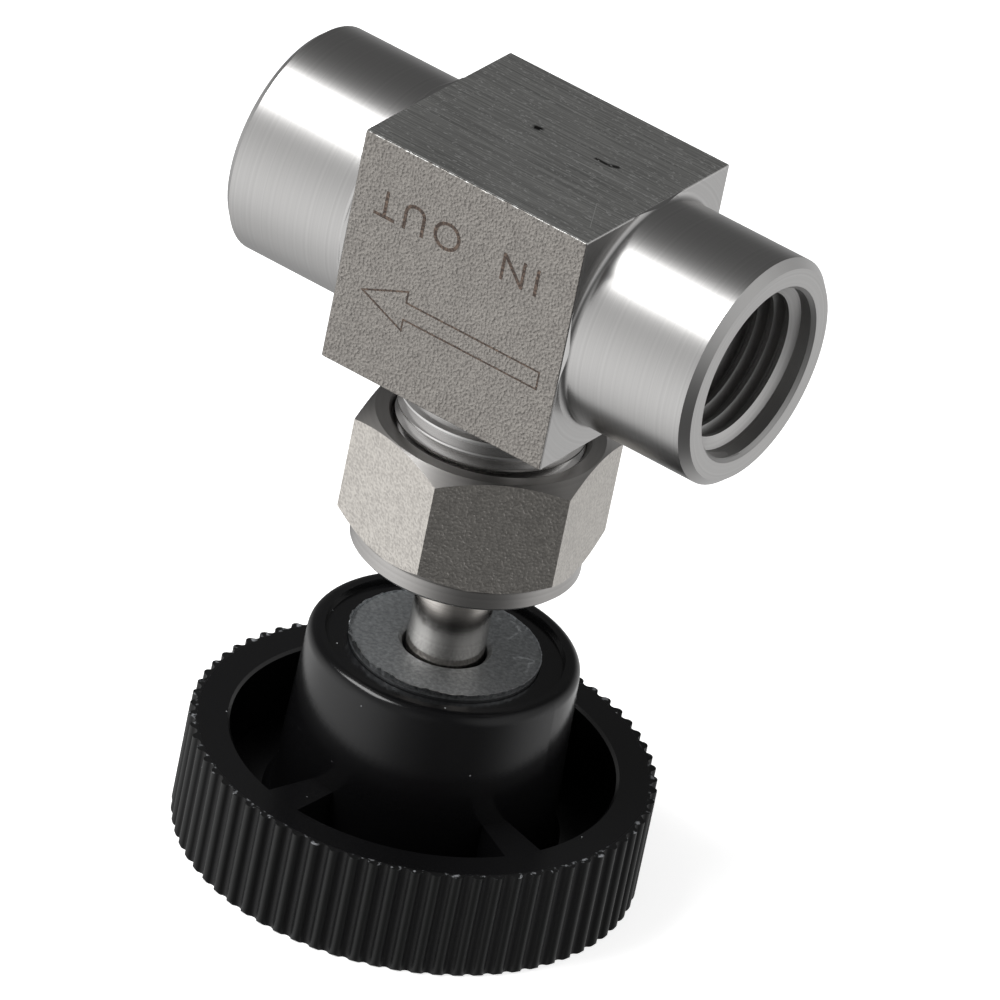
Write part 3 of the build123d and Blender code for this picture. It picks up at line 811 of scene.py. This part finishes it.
# %% [markdown]
# ## Packing rings
# The three soft rings are PTFE, a waxy white plastic that lets a little light in. They are shut in
# the neck, and still get the right finish for anyone who takes the valve apart.

# %% PTFE
def ptfe():
    material, tree, shader = new_material("turned_ptfe", Roughness=0.42, IOR=1.35)
    spot = add(tree, "SeparateXYZ", {0: millimetres(tree)}).outputs
    rings = ring_height(tree, spot[2], distance_from(tree, spot[0], spot[1]))
    tint = add(tree, "Mix", {0: rings, 6: colour("#e9e8e2"), 7: colour("#f7f6f2")},
               data_type="RGBA").outputs[2]
    tree.links.new(tint, shader.inputs["Base Color"])
    return material


cover(ptfe(), nodes["outer_packing_ring"], nodes["middle_packing_ring"],
      nodes["inner_packing_ring"])
print("packing covered")

# %% [markdown]
# ## Floor and light
# Polished metal shows what stands round it more than its own colour. The studio is a pale floor
# that glows, one softbox over the left front, and a dim room with four soft patches of light in it:
# low on the left, at the front, low at the back, and on the right. Reflections leave the floor out,
# so that the undersides show that soft room and not a white sheet.

# %% The floor
FLOOR_SIDE = 30               # metres, far past what any view shows
FLOOR_GLOW = 0.7              # enough to keep the paper white round the valve
deselect()
bpy.ops.mesh.primitive_plane_add(size=FLOOR_SIDE)
floor = bpy.context.object
floor.name = "floor"
paper, tree, shader = new_material("pale_paper", Roughness=0.9)
shader.inputs["Base Color"].default_value = colour("#f6f6f6")
shader.inputs["Emission Color"].default_value = colour("#ffffff")
shader.inputs["Emission Strength"].default_value = FLOOR_GLOW
cover(paper, floor)
floor.visible_glossy = False

# %% The room
ROOM_LIGHT = 0.13
PATCHES = [                   # direction, cosine of the angle where it begins, strength
    ((-0.80, -0.38, -0.46), 0.35, 0.95),
    ((-0.43, -0.90, 0.05), 0.35, 0.50),
    ((0.30, 0.80, -0.50), 0.45, 0.70),
    ((0.90, 0.30, 0.30), 0.50, 0.80),
]


def room_light():
    """A dim room, with a soft patch of light round each of a few directions."""
    world = bpy.data.worlds.new("studio_room")
    bpy.context.scene.world = world
    world.use_nodes = True
    tree = world.node_tree
    ray = add(tree, "TexCoord").outputs["Generated"]
    total = ROOM_LIGHT
    for direction, start, strength in PATCHES:
        facing = add(tree, "VectorMath", {0: ray, 1: Vector(direction).normalized()},
                     operation="DOT_PRODUCT").outputs["Value"]
        patch = add(tree, "MapRange", {0: facing, 1: start, 2: 1.0, 3: 0.0, 4: strength},
                    interpolation_type="SMOOTHSTEP").outputs[0]
        total = add(tree, "Math", {0: patch, 1: total}, operation="ADD").outputs[0]
    background = tree.nodes["Background"]
    tree.links.new(total, background.inputs["Strength"])
    background.inputs["Color"].default_value = colour("#ffffff")


room_light()

# %% The softbox
def softbox(name, direction, distance, width, height, watts):
    """An area light that looks at the middle of the valve."""
    middle = (cad_low + cad_high) / 2
    lamp = bpy.data.lights.new(name, "AREA")
    lamp.shape = "RECTANGLE"
    lamp.size, lamp.size_y, lamp.energy = width, height, watts
    made = bpy.data.objects.new(name, lamp)
    bpy.context.scene.collection.objects.link(made)
    toward = Vector(direction).normalized()
    made.location = middle + toward * distance
    made.rotation_mode = "QUATERNION"
    made.rotation_quaternion = toward.to_track_quat("Z", "Y")
    return made


softbox("key_softbox", (-0.43, -0.40, 0.81), 0.5, 0.34, 0.17, 2.2)

# %% [markdown]
# ## The camera
# A long lens from far away keeps parallel edges almost parallel, as product pictures do. It looks
# down at about thirty degrees, from the right of the marked face, and leans a little to one side.

# %% Camera
TURN, DOWN, LEAN = math.radians(29.615), math.radians(30.558), math.radians(11.821)
DISTANCE, SIDE_SHIFT, UP_SHIFT = 0.94404, -0.001861, -0.017420
level = Vector((math.cos(TURN), math.sin(TURN), 0))
back = Vector((math.sin(TURN) * math.cos(DOWN), -math.cos(TURN) * math.cos(DOWN), math.sin(DOWN)))
steep = back.cross(level)
right = math.cos(LEAN) * level + math.sin(LEAN) * steep
up = math.cos(LEAN) * steep - math.sin(LEAN) * level
lens = bpy.data.cameras.new("camera")
lens.sensor_width, lens.lens = 36, 480.4
lens.clip_start, lens.clip_end = 0.01, 50
camera = bpy.data.objects.new("camera", lens)
bpy.context.scene.collection.objects.link(camera)
spot = Vector((0, 0, FLOW_Z)) + SIDE_SHIFT * right + UP_SHIFT * up + DISTANCE * back
camera.matrix_world = Matrix((
    (right.x, up.x, back.x, spot.x),
    (right.y, up.y, back.y, spot.y),
    (right.z, up.z, back.z, spot.z),
    (0, 0, 0, 1),
))
bpy.context.scene.camera = camera
bpy.context.scene.view_settings.view_transform = "Standard"
print("camera at", [round(c, 3) for c in spot])
